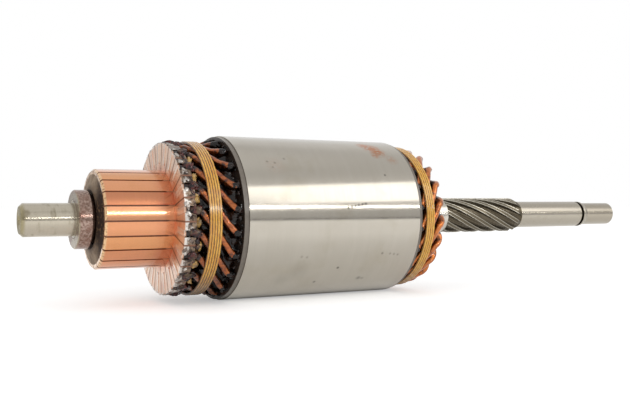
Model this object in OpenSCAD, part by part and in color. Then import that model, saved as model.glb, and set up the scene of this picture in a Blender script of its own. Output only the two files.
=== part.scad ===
// Wound armature of a four-pole direct-current motor, with a lap winding of single-turn hairpin coils.
// Millimetres. The X axis is the shaft axis, pointing from the commutator to the drive end; Z is up.
// The origin is on the axis at the root of the commutator-end journal, in the plane of the hub's front face.

/* [Shaft] */
// Diameter of the journal at the commutator end
journal_d = 15.9; // [14.5:0.1:16.9]
// Length of that journal, from its end to the hub's front face
journal_len = 24.5; // [18:0.5:34]
// Diameter of the seat that carries the commutator
commutator_seat_d = 17.5; // [17:0.1:19]
// Diameter of the seat that the lamination stack is pressed on
core_seat_d = 22.2; // [21.8:0.1:25]
// Diameter of the neck between the core seat and the splines
neck_d = 20.3; // [19:0.1:20.6]
// Distance from the stack's rear end to the start of the splines
spline_standoff = 44; // [36:0.5:60]
// Outer diameter of the helical splines
spline_d = 20.8; // [20.7:0.1:21.7]
// Diameter at the bottom of the spline grooves
spline_root_d = 16.9; // [16.8:0.1:18.2]
// Length of the splined stretch, with its end chamfer
spline_len = 59.5; // [48:0.5:72]
// Number of splines
spline_count = 10; // [8:1:12]
// Axial distance in which a spline makes one full turn
spline_lead = 138; // [120:1:220]
// Angle of the first spline from the Y axis, where the splines start
spline_phase = 25; // [0:1:45]
// Width of a spline round its crest
spline_crest_w = 2.3; // [1.6:0.1:2.6]
// Width of a groove at its bottom
groove_floor_w = 3; // [2.2:0.1:3.4]
// Length over which the grooves run out at the neck
spline_runout = 1.6; // [1:0.1:4]
// Length over which the splines taper down at the drive end
spline_end_taper = 4.6; // [2:0.1:6]
// Diameter of the plain drive-end stretch
plain_d = 16.3; // [15.4:0.1:16.7]
// Length of that stretch up to the retaining-ring groove
plain_len = 52.4; // [44:0.1:64]
// Width of the retaining-ring groove
ring_groove_w = 2.3; // [1.4:0.1:3]
// Diameter at the bottom of that groove
ring_groove_d = 14.5; // [13.8:0.1:15.2]
// Width of the land between the groove and the taper
ring_land_w = 1.4; // [0.8:0.1:3]
// Length of the taper down to the pilot
pilot_taper_len = 2.6; // [1.5:0.1:5]
// Diameter of the pilot at the drive end
pilot_d = 14.2; // [12.6:0.1:15]
// Length of the pilot, with its end chamfer
pilot_len = 25.5; // [18:0.5:36]
// Chamfer on the journal's and the pilot's ends
end_chamfer = 1.5; // [0.8:0.1:2.2]
// Mouth diameter of the lathe centres in both ends
centre_d = 5; // [3.5:0.1:6.5]
// Diameter of the drilled hole at the bottom of the lathe centres
centre_drill_d = 2; // [1.2:0.1:2.8]

/* [Commutator] */
// Number of bars, slots and coils
bar_count = 21; // [19:2:23]
// Diameter of the steel hub's collar
hub_d = 28.4; // [26.5:0.1:30]
// Length of the collar
hub_collar_len = 6; // [4:0.1:8]
// Outer diameter of the hub's sleeve inside the moulding
hub_sleeve_d = 24; // [22:0.1:25.5]
// Distance from the hub's front face to the bars' front end
bar_start = 9.2; // [8.2:0.1:14]
// Diameter of the brush track
track_d = 48.4; // [46.5:0.1:50]
// Length of the brush track
track_len = 33.3; // [26:0.1:42]
// Outer diameter of the risers
riser_d = 75.9; // [72:0.1:80]
// Thickness of the risers along the axis
riser_t = 5.5; // [4:0.1:8]
// Bevel at the front edge of the track
track_bevel = 0.9; // [0.4:0.1:1.3]
// Diameter where the bars' end faces meet the moulding
bar_lip_d = 43.6; // [42.5:0.1:44.6]
// Diameter at the tip of the notches that lock the bars
notch_d = 39.6; // [38.5:0.1:41]
// Inner diameter of the bars
bar_root_d = 34; // [32:0.1:36.5]
// Thickness of the mica between the bars
mica_t = 0.8; // [0.5:0.05:1.1]
// Depth of the undercut between the bars on the track
mica_undercut = 0.7; // [0.4:0.1:1.2]
// Length at the riser end of the track that is not undercut
undercut_stop = 3.5; // [2:0.1:7]
// Diameter of the moulding's front edge, round the hub
moulding_nose_d = 28.8; // [27.6:0.1:30.6]
// How far that edge stands in front of the bars' front end
moulding_nose_len = 1.6; // [0.6:0.1:2.4]
// Depth of the gap between that edge and the hub's sleeve
moulding_gap_depth = 1.8; // [1:0.1:3]
// [1.4:0.1:4]

/* [Core] */
// Outer diameter of the lamination stack
core_d = 84.6; // [82.5:0.1:88]
// Length of the lamination stack
core_len = 98.75; // [70:0.25:130]
// Distance from the back of the risers to the stack
front_overhang = 25; // [22.5:0.5:34]
// Distance from the stack to the tips of the hairpins
rear_overhang = 21.8; // [20:0.1:30]
// Iron left between a slot and the outer diameter
slot_bridge = 2; // [1:0.1:2.6]
// Thickness of the front end disc
front_disc_t = 2.4; // [1.4:0.1:2.8]
// Thickness of the rear end disc
rear_disc_t = 1.8; // [1:0.1:2.4]
// Radial step from the stack's outer diameter to the end discs
disc_step = 0.5; // [0.2:0.1:0.9]

/* [Winding] */
// Width of the conductor, round the armature
wire_w = 3.3; // [2.8:0.1:3.7]
// Height of the conductor, towards the axis
wire_h = 5; // [4.4:0.1:5.4]
// Corner chamfer of the conductor
wire_chamfer = 0.9; // [0.5:0.1:1.2]
// Gap between the two layers
layer_gap = 0.6; // [0.5:0.05:0.9]
// Slots from one side of a coil to the other
coil_span = 5; // [4:1:5]
// Angle of the first slot from the Y axis
slot_phase = 1; // [0:0.5:17]
// Rim left outside the conductors in the risers
riser_rim = 0.15; // [0.1:0.05:0.6]
// Drop of the conductors from the slots to the rear overhang
rear_drop = 1.2; // [0.6:0.1:1.6]
// Wall of the slot liners
liner_t = 0.3; // [0.2:0.05:0.4]
// Clearance of the conductors in the liners and risers
wire_fit = 0.05; // [0.03:0.01:0.1]
// Length of the liner cuffs in front of the stack
front_cuff = 3.5; // [3:0.1:4.5]
// Length of the liner cuffs behind the stack
rear_cuff = 2.6; // [2:0.1:3]
// Straight stretch of the conductors outside the cuffs
cuff_exit = 0.6; // [0.4:0.1:1]
// Share of a slot pitch that a hairpin's tip spans
tip_share = 0.8; // [0.5:0.05:0.9]
// Wall of the insulation between the layers
layer_tube_t = 0.25; // [0.15:0.05:0.3]
// Wall of the insulating sleeves on the shaft
sleeve_t = 1.2; // [0.6:0.1:2]

/* [Bands] */
// Diameter of the banding cord
cord_d = 1.15; // [0.9:0.05:1.35]
// Turns in the front band
front_turns = 7; // [5:1:8]
// Turns in the rear band
rear_turns = 6; // [4:1:6]
// Distance from the risers to the front band
front_band_gap = 5.7; // [5:0.1:7]
// Distance from the stack to the rear band
rear_band_gap = 5.9; // [5.8:0.1:7]
// Clearance between a band and the conductors under it
band_fit = 0.1; // [0.05:0.05:0.3]

/* [Hidden] */
$fn = 64;
pitch = 360 / bar_count;

// Stations along the axis
riser_x = bar_start + track_len;
riser_back_x = riser_x + riser_t;
core_x = riser_back_x + front_overhang;
core_end_x = core_x + core_len;
front_cuff_x = core_x - front_cuff;
rear_cuff_x = core_end_x + rear_cuff;
spline_x = core_end_x + spline_standoff;
spline_end_x = spline_x + spline_len;
groove_x = spline_end_x + plain_len;
land_x = groove_x + ring_groove_w;
taper_x = land_x + ring_land_w;
pilot_x = taper_x + pilot_taper_len;
pilot_end_x = pilot_x + pilot_len;

// Slots and conductors
slot_w = wire_w + 2 * (wire_fit + liner_t);
slot_top_r = core_d / 2 - slot_bridge;
slot_h = 2 * wire_h + layer_gap + 2 * (wire_fit + liner_t);
layer_step = wire_h + layer_gap;
slot_upper_r = slot_top_r - liner_t - wire_fit - wire_h / 2;
front_upper_r = riser_d / 2 - riser_rim - wire_h / 2;
rear_upper_r = slot_upper_r - rear_drop;
wire_end_r = front_upper_r - layer_step - wire_h / 2;

// Where the conductors bend
riser_straight = 0.5;
front_drop_len = 6;
rear_drop_len = 2.3;
riser_bend_len = 4;
cuff_bend_len = 2.5;
nose_r = layer_step / 2;
nose_x = core_end_x + rear_overhang - wire_h / 2 - nose_r;
ramp_x = riser_back_x + riser_straight;
front_bend_x = front_cuff_x - cuff_exit;
rear_bend_x = rear_cuff_x + cuff_exit;
slot_half = coil_span * pitch / 2;
riser_half = pitch / 2;
tip_half = tip_share * pitch / 2;
rear_swing = (slot_half - tip_half) / (nose_x - rear_bend_x - cuff_bend_len / 2);

// Bands
cord_pitch = 0.97 * cord_d;
front_band_x = riser_back_x + front_band_gap;
rear_band_x = core_end_x + rear_band_gap;

// Shaft steps that nothing else sets
seat_shoulder_gap = 1;
core_seat_tail = 14;
edge_break = 0.4;
hub_chamfer = 0.6;
spline_steps = 20;

// Angles, from the Y axis towards Z
function slot_angle(i) = slot_phase + (i - 1) * pitch;
function bar_angle(i) = slot_angle(i) - slot_half + riser_half;

// Puts an extrusion or a revolve on the shaft axis: its own X becomes Y, its Y becomes Z, its height becomes X
module on_axis(x = 0)
    translate([x, 0, 0]) rotate([90, 0, 90]) children();

// Revolves a profile of [radius, station] points about the shaft axis
module turned(profile)
    on_axis() rotate_extrude() polygon(profile);

module tube(x0, x1, inner_r, outer_r)
    turned([[inner_r, x0], [outer_r, x0], [outer_r, x1], [inner_r, x1]]);

// ---------- Shaft ----------

// Radius of a spline's crest or of a groove's floor, which runs out towards the neck
function spline_radius(x, is_crest) =
    let (
        crest_r = spline_d / 2,
        root_r = spline_root_d / 2,
        left = max(0, 1 - (x - spline_x) / spline_runout),
        floor_r = root_r + (crest_r - root_r) * left,
        taper_r = root_r + (crest_r - root_r) * (spline_end_x - x) / spline_end_taper
    )
    min(is_crest ? crest_r : floor_r, taper_r);

// Four corners of one spline, as [angle, is a crest] pairs
function spline_corners() =
    let (
        crest = spline_crest_w / spline_d * 180 / PI,
        floor_half = groove_floor_w / spline_root_d * 180 / PI,
        step = 360 / spline_count
    )
    [[-crest, true], [crest, true], [step / 2 - floor_half, false], [step / 2 + floor_half, false]];

function spline_ring(x) =
    [for (i = [0:spline_count - 1], corner = spline_corners())
        let (
            angle = spline_phase + i * 360 / spline_count + corner[0] + 360 * (x - spline_x) / spline_lead,
            r = spline_radius(x, corner[1])
        )
        [x, r * cos(angle), r * sin(angle)]];

// Side faces of a stack of rings, and its two ends
function skin_faces(rings, n) =
    concat(
        [for (i = [0:rings - 2], j = [0:n - 1])
            [i * n + j, (i + 1) * n + j, (i + 1) * n + (j + 1) % n, i * n + (j + 1) % n]],
        [[for (j = [0:n - 1]) j]],
        [[for (j = [n - 1:-1:0]) (rings - 1) * n + j]]
    );

module spline_teeth() {
    full_len = spline_len - spline_runout - spline_end_taper;
    stations = concat(
        [spline_x],
        [for (i = [0:spline_steps - 2]) spline_x + spline_runout + full_len * i / (spline_steps - 2)],
        [spline_end_x]
    );
    points = [for (x = stations) each spline_ring(x)];
    polyhedron(points, skin_faces(len(stations), 4 * spline_count), convexity = 8);
}

// Cut for a 60 degree lathe centre, with its mouth at the origin
module lathe_centre() {
    cone_depth = (centre_d - centre_drill_d) / 2 / tan(30);
    mouth_r = centre_d / 2;
    drill_r = centre_drill_d / 2;
    rotate_extrude() polygon([
        [0, -1],
        [mouth_r, -1],
        [mouth_r, 0],
        [drill_r, cone_depth],
        [drill_r, cone_depth + centre_drill_d],
        [0, cone_depth + centre_drill_d]
    ]);
}

module shaft() {
    journal_r = journal_d / 2;
    core_seat_x = core_x - front_disc_t - sleeve_t - seat_shoulder_gap;
    core_seat_end_x = core_end_x + core_seat_tail;
    color("silver") difference() {
        union() {
            turned([
                [0, -journal_len],
                [journal_r - end_chamfer, -journal_len],
                [journal_r, -journal_len + end_chamfer],
                [journal_r, 0],
                [commutator_seat_d / 2, 0],
                [commutator_seat_d / 2, riser_back_x],
                [core_seat_d / 2, riser_back_x],
                [core_seat_d / 2, core_seat_end_x],
                [neck_d / 2, core_seat_end_x + (core_seat_d - neck_d) / 2],
                [neck_d / 2, spline_x],
                [plain_d / 2, spline_x],
                [plain_d / 2, groove_x],
                [ring_groove_d / 2, groove_x],
                [ring_groove_d / 2, land_x],
                [plain_d / 2, land_x],
                [plain_d / 2, taper_x],
                [pilot_d / 2, pilot_x],
                [pilot_d / 2, pilot_end_x - end_chamfer],
                [pilot_d / 2 - end_chamfer, pilot_end_x],
                [0, pilot_end_x]
            ]);
            spline_teeth();
        }
        on_axis(-journal_len) lathe_centre();
        on_axis(pilot_end_x) mirror([0, 0, 1]) lathe_centre();
    }
}

// ---------- Commutator ----------

bar_lip_r = bar_lip_d / 2;
notch_in = 5.5;
root_in = 2.6;

// Inner outline of the bars, from the back end to the front end
function bar_foot() = [
    [bar_lip_r, riser_back_x],
    [notch_d / 2, riser_back_x - notch_in],
    [bar_root_d / 2, riser_back_x - root_in],
    [bar_root_d / 2, bar_start + root_in],
    [notch_d / 2, bar_start + notch_in],
    [bar_lip_r, bar_start]
];

function bar_profile() =
    let (track_r = track_d / 2)
    concat([
        [track_r - track_bevel, bar_start],
        [track_r, bar_start + track_bevel],
        [track_r, riser_x],
        [riser_d / 2, riser_x],
        [riser_d / 2, riser_back_x]
    ], bar_foot());

function mica_profile() =
    let (track_r = track_d / 2, floor_r = track_r - mica_undercut)
    concat([
        [track_r - max(track_bevel, mica_undercut), bar_start],
        [floor_r, bar_start + track_bevel],
        [floor_r, riser_x - undercut_stop],
        [track_r, riser_x - undercut_stop + mica_undercut],
        [track_r, riser_x],
        [riser_d / 2, riser_x],
        [riser_d / 2, riser_back_x]
    ], bar_foot());

module commutator_hub() {
    seat_r = commutator_seat_d / 2;
    color("dimgray") turned([
        [seat_r + edge_break, 0],
        [hub_d / 2 - hub_chamfer, 0],
        [hub_d / 2, hub_chamfer],
        [hub_d / 2, hub_collar_len],
        [hub_sleeve_d / 2, hub_collar_len],
        [hub_sleeve_d / 2, riser_back_x],
        [seat_r, riser_back_x],
        [seat_r, edge_break]
    ]);
}

module commutator_moulding() {
    nose_x = bar_start - moulding_nose_len;
    foot = bar_foot();
    color("#4a4038") turned(concat(
        [for (i = [len(foot) - 1:-1:0]) foot[i]],
        [
            [hub_sleeve_d / 2, riser_back_x],
            [hub_sleeve_d / 2, nose_x + moulding_gap_depth],
            [moulding_nose_d / 2, nose_x]
        ]
    ));
}

module mica_separators() {
    color("#5a4a3a") intersection() {
        turned(mica_profile());
        for (i = [1:bar_count])
            rotate([bar_angle(i) + pitch / 2, 0, 0])
                translate([0, 0, -mica_t / 2]) cube([riser_back_x, riser_d, mica_t]);
    }
}

// One bar: a wedge of the revolved profile, with a slot through its riser for two conductors
module commutator_bar(i) {
    half = pitch / 2;
    apex = mica_t / 2 / sin(half);
    reach = riser_d;
    wire_slot_w = wire_w + 2 * wire_fit;
    color("#d98b62") rotate([bar_angle(i), 0, 0]) difference() {
        intersection() {
            turned(bar_profile());
            on_axis() linear_extrude(riser_back_x)
                polygon([
                    [apex, 0],
                    [apex + reach * cos(half), -reach * sin(half)],
                    [apex + reach * cos(half), reach * sin(half)]
                ]);
        }
        translate([riser_x - 1, wire_end_r - wire_fit, -wire_slot_w / 2])
            cube([riser_t + 2, riser_d, wire_slot_w]);
    }
}

// ---------- Core ----------

module slot_outlines(w, top_r, h) {
    for (i = [1:bar_count])
        rotate(slot_angle(i)) translate([top_r - h, -w / 2]) square([h, w]);
}

module slotted_disc(x, thickness, outer_r) {
    on_axis(x) linear_extrude(thickness) difference() {
        circle(r = outer_r);
        circle(d = core_seat_d);
        slot_outlines(slot_w, slot_top_r, slot_h);
    }
}

module armature_core()
    color("#b8b5ae") slotted_disc(core_x, core_len, core_d / 2);

module front_end_disc()
    color("#4d4640") slotted_disc(core_x - front_disc_t, front_disc_t, core_d / 2 - disc_step);

module rear_end_disc()
    color("#4d4640") slotted_disc(core_end_x, rear_disc_t, core_d / 2 - disc_step);

module slot_liners() {
    color("#6b5a45") on_axis(front_cuff_x) linear_extrude(rear_cuff_x - front_cuff_x) difference() {
        slot_outlines(slot_w, slot_top_r, slot_h);
        slot_outlines(slot_w - 2 * liner_t, slot_top_r - liner_t, slot_h - 2 * liner_t);
    }
}

// ---------- Winding ----------

// Share of a bend that is done after a distance t, easing in over e and out over f, in a whole length l
function eased(t, l, e, f) =
    let (speed = 1 / (l - e / 2 - f / 2))
    t <= 0 ? 0
    : t >= l ? 1
    : t < e ? speed * t * t / e / 2
    : t > l - f ? 1 - speed * (l - t) * (l - t) / f / 2
    : speed * (t - e / 2);

// Half of the angle between a coil's two sides at station x
function half_span(x) =
    let (behind = x - rear_bend_x)
    behind <= 0
        ? slot_half + (riser_half - slot_half)
            * eased(front_bend_x - x, front_bend_x - ramp_x, cuff_bend_len, riser_bend_len)
        : behind < cuff_bend_len
            ? slot_half - rear_swing * behind * behind / cuff_bend_len / 2
            : slot_half - rear_swing * (behind - cuff_bend_len / 2);

// Radius of the upper layer's centre line at station x
function upper_radius(x) =
    x <= rear_bend_x
        ? slot_upper_r + (front_upper_r - slot_upper_r)
            * eased(front_bend_x - x, front_drop_len, front_drop_len / 2, front_drop_len / 2)
        : slot_upper_r - rear_drop
            * eased(x - rear_bend_x, rear_drop_len, rear_drop_len / 2, rear_drop_len / 2);

function leg_stations(front_steps, rear_steps) = concat(
    [riser_x],
    [for (i = [0:front_steps]) ramp_x + (front_bend_x - ramp_x) * i / front_steps],
    [for (i = [0:rear_steps]) rear_bend_x + (nose_x - rear_bend_x) * i / rear_steps]
);

// The coil's centre line as [station, angle, radius, turn of the hairpin] rows
function upper_leg() = [for (x = leg_stations(6, 5)) [x, half_span(x), upper_radius(x), 0]];

function lower_leg() =
    let (stations = leg_stations(4, 4), last = len(stations) - 1)
    [for (i = [last:-1:0])
        let (x = stations[i])
        [x, -half_span(x), upper_radius(x) - layer_step, 180]];

function hairpin_nose() =
    let (mid_r = rear_upper_r - nose_r)
    [for (turn = [30:30:150])
        [
            nose_x + nose_r * sin(turn),
            tip_half * (1 - turn / 90),
            mid_r + nose_r * cos(turn),
            turn
        ]];

function wire_section() =
    let (w = wire_w / 2, h = wire_h / 2, c = wire_chamfer)
    [
        [w, h - c], [w - c, h], [c - w, h], [-w, h - c],
        [-w, c - h], [c - w, -h], [w - c, -h], [w, c - h]
    ];

function unit(v) = v / norm(v);

function route_point(row) = [row[0], row[2] * cos(row[1]), row[2] * sin(row[1])];

// Direction from the inside of the hairpin's loop to its outside
function outward(row) =
    [sin(row[3]), cos(row[3]) * cos(row[1]), cos(row[3]) * sin(row[1])];

module swept_wire(route) {
    section = wire_section();
    last = len(route) - 1;
    centres = [for (row = route) route_point(row)];
    rings = [for (i = [0:last])
        let (
            before = i == 0 ? [0, 0, 0] : unit(centres[i] - centres[i - 1]),
            after = i == last ? [0, 0, 0] : unit(centres[i + 1] - centres[i]),
            along = unit(before + after),
            across = unit(cross(along, outward(route[i]))),
            out = cross(across, along)
        )
        each [for (p = section) centres[i] + p[0] * across + p[1] * out]];
    polyhedron(rings, skin_faces(last + 1, len(section)), convexity = 10);
}

module coil(i)
    color("#b0623a") rotate([slot_angle(i) - slot_half, 0, 0])
        swept_wire(concat(upper_leg(), hairpin_nose(), lower_leg()));

module layer_insulation(x0, x1, upper_r) {
    mid_r = upper_r - layer_step / 2;
    tube(x0, x1, mid_r - layer_tube_t / 2, mid_r + layer_tube_t / 2);
}

module front_layer_insulation()
    color("#8a6a3a") layer_insulation(
        riser_back_x + 2, front_bend_x - front_drop_len, front_upper_r);

module rear_layer_insulation()
    color("#8a6a3a") layer_insulation(rear_band_x + 0.8, nose_x - nose_r, rear_upper_r);

module shaft_sleeve(x0, x1)
    color("#5d5145") tube(x0, x1, core_seat_d / 2, core_seat_d / 2 + sleeve_t);

module front_shaft_sleeve()
    shaft_sleeve(riser_back_x, core_x - front_disc_t);

module rear_shaft_sleeve()
    shaft_sleeve(core_end_x + rear_disc_t, core_end_x + core_seat_tail - 1);

// ---------- Bands ----------

module cord_band(x, turns, wire_r) {
    inner_r = wire_r + wire_h / 2 + band_fit;
    web_t = cord_d / 3;
    color("#c9a04a") on_axis() rotate_extrude() union() {
        for (i = [0:turns - 1])
            translate([inner_r + cord_d / 2, x + cord_d / 2 + i * cord_pitch]) circle(d = cord_d);
        translate([inner_r + cord_d / 2 - web_t / 2, x + cord_d / 2])
            square([web_t, (turns - 1) * cord_pitch]);
    }
}

module front_band()
    cord_band(front_band_x, front_turns, front_upper_r);

module rear_band()
    cord_band(rear_band_x, rear_turns, rear_upper_r);

shaft();
commutator_hub();
commutator_moulding();
mica_separators();
for (i = [1:bar_count])
    commutator_bar(i);
armature_core();
front_end_disc();
rear_end_disc();
slot_liners();
for (i = [1:bar_count])
    coil(i);
front_layer_insulation();
rear_layer_insulation();
front_band();
rear_band();
front_shaft_sleeve();
rear_shaft_sleeve();
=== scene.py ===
"""Wound armature of a direct-current motor: the finish of its steel, copper, cord and varnish.

The shaft lies along +X, from the commutator to the drive end. Sizes are in millimetres, angles in degrees
round the shaft, from +Y towards +Z, and meshes are built in metres.
"""

import math
import random

import bpy
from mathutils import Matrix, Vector, noise


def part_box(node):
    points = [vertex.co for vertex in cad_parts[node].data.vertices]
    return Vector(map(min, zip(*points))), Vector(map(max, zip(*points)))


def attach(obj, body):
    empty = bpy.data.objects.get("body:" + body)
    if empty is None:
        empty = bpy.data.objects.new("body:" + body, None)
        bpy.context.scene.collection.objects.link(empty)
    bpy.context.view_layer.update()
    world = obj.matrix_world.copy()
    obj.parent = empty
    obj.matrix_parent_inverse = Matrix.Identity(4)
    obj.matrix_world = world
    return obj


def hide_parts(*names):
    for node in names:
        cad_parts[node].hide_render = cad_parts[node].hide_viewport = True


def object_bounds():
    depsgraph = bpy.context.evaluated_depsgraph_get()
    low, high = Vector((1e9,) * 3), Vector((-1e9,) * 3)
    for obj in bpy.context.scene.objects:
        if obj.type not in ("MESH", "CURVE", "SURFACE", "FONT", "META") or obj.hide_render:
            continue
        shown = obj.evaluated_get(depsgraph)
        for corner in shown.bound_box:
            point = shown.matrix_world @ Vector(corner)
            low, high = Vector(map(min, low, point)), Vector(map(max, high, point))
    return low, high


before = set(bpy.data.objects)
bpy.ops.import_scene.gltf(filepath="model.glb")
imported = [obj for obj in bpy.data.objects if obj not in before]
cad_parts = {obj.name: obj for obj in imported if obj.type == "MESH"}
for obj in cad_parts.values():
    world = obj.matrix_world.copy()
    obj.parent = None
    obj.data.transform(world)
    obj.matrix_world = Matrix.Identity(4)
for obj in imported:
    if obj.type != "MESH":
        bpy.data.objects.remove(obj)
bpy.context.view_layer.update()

MM = 0.001

# ---------- Sizes of the winding, which the solids share ----------

BAR_COUNT = 21
BARS = range(1, BAR_COUNT + 1)
PITCH = 360 / BAR_COUNT
SLOT_PHASE = 1.0
# Slots from one side of a coil to the other
COIL_SPAN = 5
WIRE_W = 3.3
WIRE_H = 5.0
# From the middle of the upper layer to the middle of the lower one
LAYER_STEP = 5.6
SLOT_TOP_COVER = 2.35
# Radius of the risers, and how far below it the conductors lie
RISER_R = 37.95
RISER_RIM = 0.15
TRACK_R = 24.2
# How far the conductors drop towards the shaft behind the stack, and over which lengths they do so
REAR_DROP = 1.2
FRONT_DROP_LEN = 6.0
REAR_DROP_LEN = 2.3
# Straight stretch behind a riser, the bend after it, and the bend at a cuff
RISER_STRAIGHT = 0.5
RISER_BEND_LEN = 4.0
CUFF_EXIT = 0.6
CUFF_BEND_LEN = 2.5
# Width of a hairpin's loop as a share of the pitch
TIP_SHARE = 0.8
# Stations along a coil's front and rear overhang, and the angle between those round its loop
FRONT_STEPS = 18
REAR_STEPS = 14
LOOP_STEP = 15

HUB_COLLAR_LEN = 6.0

# The helical splines, the ring groove and the pilot of the shaft
SPLINE_X = 215.75
SPLINE_END_X = 275.25
SPLINE_R = 10.4
SPLINE_COUNT = 10
SPLINE_LEAD = 138.0
SPLINE_PHASE = 25.0
RING_GROOVE_X = 327.65
RING_GROOVE_END_X = 329.95
PILOT_X = 333.95

# Wear on the stack, as station, angle, reach and strength
RUST_PATCHES = [
    (155.0, 117.5, 8.0, 1.0),
    (157.0, 123.5, 6.5, 1.0),
    (151.5, 112.5, 5.5, 0.9),
    (153.5, 128.5, 3.5, 0.7),
    (158.0, 100.0, 4.0, 0.5),
    (162.5, 133.0, 5.0, 0.35),
    (90.5, 141.5, 8.0, 0.12),
]
SINGLE_SPECKS = [
    (87, 138, 1.1, 0.35),
    (89, 143, 1.0, 0.3),
    (91, 139, 1.2, 0.35),
    (97, 135, 1.1, 0.35),
    (153.5, 148, 0.9, 0.8),
    (126, 217, 1.2, 0.75),
    (116, 231, 1.4, 0.6),
    (142, 229, 2.2, 0.45),
    (144.5, 229.5, 1.5, 0.35),
    (150.5, 206, 1.2, 0.45),
    (103.5, 219, 9.0, 0.1),
    (96, 226, 7.0, 0.1),
]

# Rows of specks, as first station, first angle, step along, step round, count, reach and strength
SPECK_ROWS = [
    (127.5, 172.5, 2.1, -0.5, 6, 1.1, 1.0),
    (155.5, 206.5, 2.5, 0.5, 3, 1.1, 0.35),
    (103, 206.5, 3.0, 0.5, 2, 1.2, 0.25),
]

# Painted glow of the floor, seen only in metal, by distance in metres from the stack's middle line; it
# is dimmer in a painted shadow of the stack, which reaches a little past the stack's ends, then fades out.
STACK_SHADE = 0.008
PAST_STACK = 0.06
FLOOR_PAINTED_GLOW = [
    (0.009, 0.05),
    (0.013, 0.36),
    (0.05, 0.36),
    (0.075, 0.43),
    (0.12, 0.6),
    (0.3, 0.55),
    (0.7, 0.55),
    (0.85, 0.0),
]

# Tints of the commutator bars with their heat tint by the risers, and which bar has which
BAR_TONES = [
    ("#D99468", 0.35),
    ("#E09E76", 0.2),
    ("#BA6C48", 0.95),
    ("#DB985E", 0.3),
    ("#CA845A", 0.4),
]
BAR_TONE_OF = [0, 2, 1, 0, 3, 1, 2, 0, 1, 3, 0, 2, 1, 4, 3, 4, 0, 0, 2, 1, 3]


def low_x(node):
    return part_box(node)[0].x / MM


def high_x(node):
    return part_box(node)[1].x / MM


riser_x = low_x("coil_1")
bar_start_x = low_x("commutator_bar_1")
riser_back_x = high_x("commutator_bar_1")
front_disc_x = low_x("front_end_disc")
core_x = low_x("armature_core")
core_end_x = high_x("armature_core")
rear_disc_end_x = high_x("rear_end_disc")
core_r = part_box("armature_core")[1].y / MM
front_bend_x = low_x("slot_liners") - CUFF_EXIT
rear_bend_x = high_x("slot_liners") + CUFF_EXIT
nose_r = LAYER_STEP / 2
nose_x = high_x("coil_1") - WIRE_H / 2 - nose_r
ramp_x = riser_back_x + RISER_STRAIGHT

slot_upper_r = core_r - SLOT_TOP_COVER - WIRE_H / 2
front_upper_r = RISER_R - RISER_RIM - WIRE_H / 2
rear_upper_r = slot_upper_r - REAR_DROP
slot_half = COIL_SPAN * PITCH / 2
riser_half = PITCH / 2
tip_half = TIP_SHARE * PITCH / 2
rear_swing = (slot_half - tip_half) / (nose_x - rear_bend_x - CUFF_BEND_LEN / 2)


# ---------- Small helpers ----------

def polar(x, angle, r):
    """A point in metres, from a station, an angle round the shaft and a radius."""
    a = math.radians(angle)
    return Vector((x, r * math.cos(a), r * math.sin(a))) * MM


def clamp(value, low=0.0, high=1.0):
    return max(low, min(high, value))


def smooth(value):
    t = clamp(value)
    return t * t * (3 - 2 * t)


def rough(x, angle, r, size, seed=0.0):
    """Noise from -1 to 1 over a surface round the shaft, with lumps of about the given size."""
    a = math.radians(angle)
    return noise.noise(Vector((x / size + seed, r * math.cos(a) / size, r * math.sin(a) / size)))


def make_piece(name, points, faces, material, shades=None):
    """A smooth mesh that rides on the armature. Shades, one for each point, go to its "shade" attribute."""
    mesh = bpy.data.meshes.new(name)
    mesh.from_pydata(points, [], faces)
    mesh.polygons.foreach_set("use_smooth", [True] * len(faces))
    if shades is not None:
        layer = mesh.attributes.new("shade", "FLOAT", "POINT")
        layer.data.foreach_set("value", shades)
    mesh.materials.append(material)
    mesh.update()
    piece = bpy.data.objects.new(name, mesh)
    bpy.context.scene.collection.objects.link(piece)
    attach(piece, "root")
    return piece


def skin(rings, n, first, closed=True, caps=True):
    """Faces between rings of n points, numbered from first."""
    faces = []
    sides = n if closed else n - 1
    for i in range(rings - 1):
        for j in range(sides):
            k = (j + 1) % n
            faces.append((
                first + i * n + j, first + (i + 1) * n + j,
                first + (i + 1) * n + k, first + i * n + k,
            ))
    if closed and caps:
        faces.append(tuple(first + j for j in range(n)))
        faces.append(tuple(first + (rings - 1) * n + j for j in reversed(range(n))))
    return faces


# ---------- Route of the conductors ----------

def eased(t, length, ease_in, ease_out):
    """Share of a bend that is done after a distance t."""
    speed = 1 / (length - ease_in / 2 - ease_out / 2)
    if t <= 0:
        return 0.0
    if t >= length:
        return 1.0
    if t < ease_in:
        return speed * t * t / ease_in / 2
    if t > length - ease_out:
        return 1 - speed * (length - t) ** 2 / ease_out / 2
    return speed * (t - ease_in / 2)


def half_span(x):
    """Half of the angle between a coil's two sides at station x."""
    behind = x - rear_bend_x
    if behind <= 0:
        share = eased(front_bend_x - x, front_bend_x - ramp_x, CUFF_BEND_LEN, RISER_BEND_LEN)
        return slot_half + (riser_half - slot_half) * share
    if behind < CUFF_BEND_LEN:
        return slot_half - rear_swing * behind * behind / CUFF_BEND_LEN / 2
    return slot_half - rear_swing * (behind - CUFF_BEND_LEN / 2)


def upper_radius(x):
    """Radius of the upper layer's centre line at station x."""
    if x <= rear_bend_x:
        share = eased(front_bend_x - x, FRONT_DROP_LEN, FRONT_DROP_LEN / 2, FRONT_DROP_LEN / 2)
        return slot_upper_r + (front_upper_r - slot_upper_r) * share
    share = eased(x - rear_bend_x, REAR_DROP_LEN, REAR_DROP_LEN / 2, REAR_DROP_LEN / 2)
    return slot_upper_r - REAR_DROP * share


def slot_angle(i):
    return SLOT_PHASE + (i - 1) * PITCH


def upper_wire_angle(i, x):
    """Angle of coil i's upper side at station x."""
    return slot_angle(i) - slot_half + half_span(x)


def spread(x0, x1, steps):
    return [x0 + (x1 - x0) * i / steps for i in range(steps + 1)]


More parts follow.
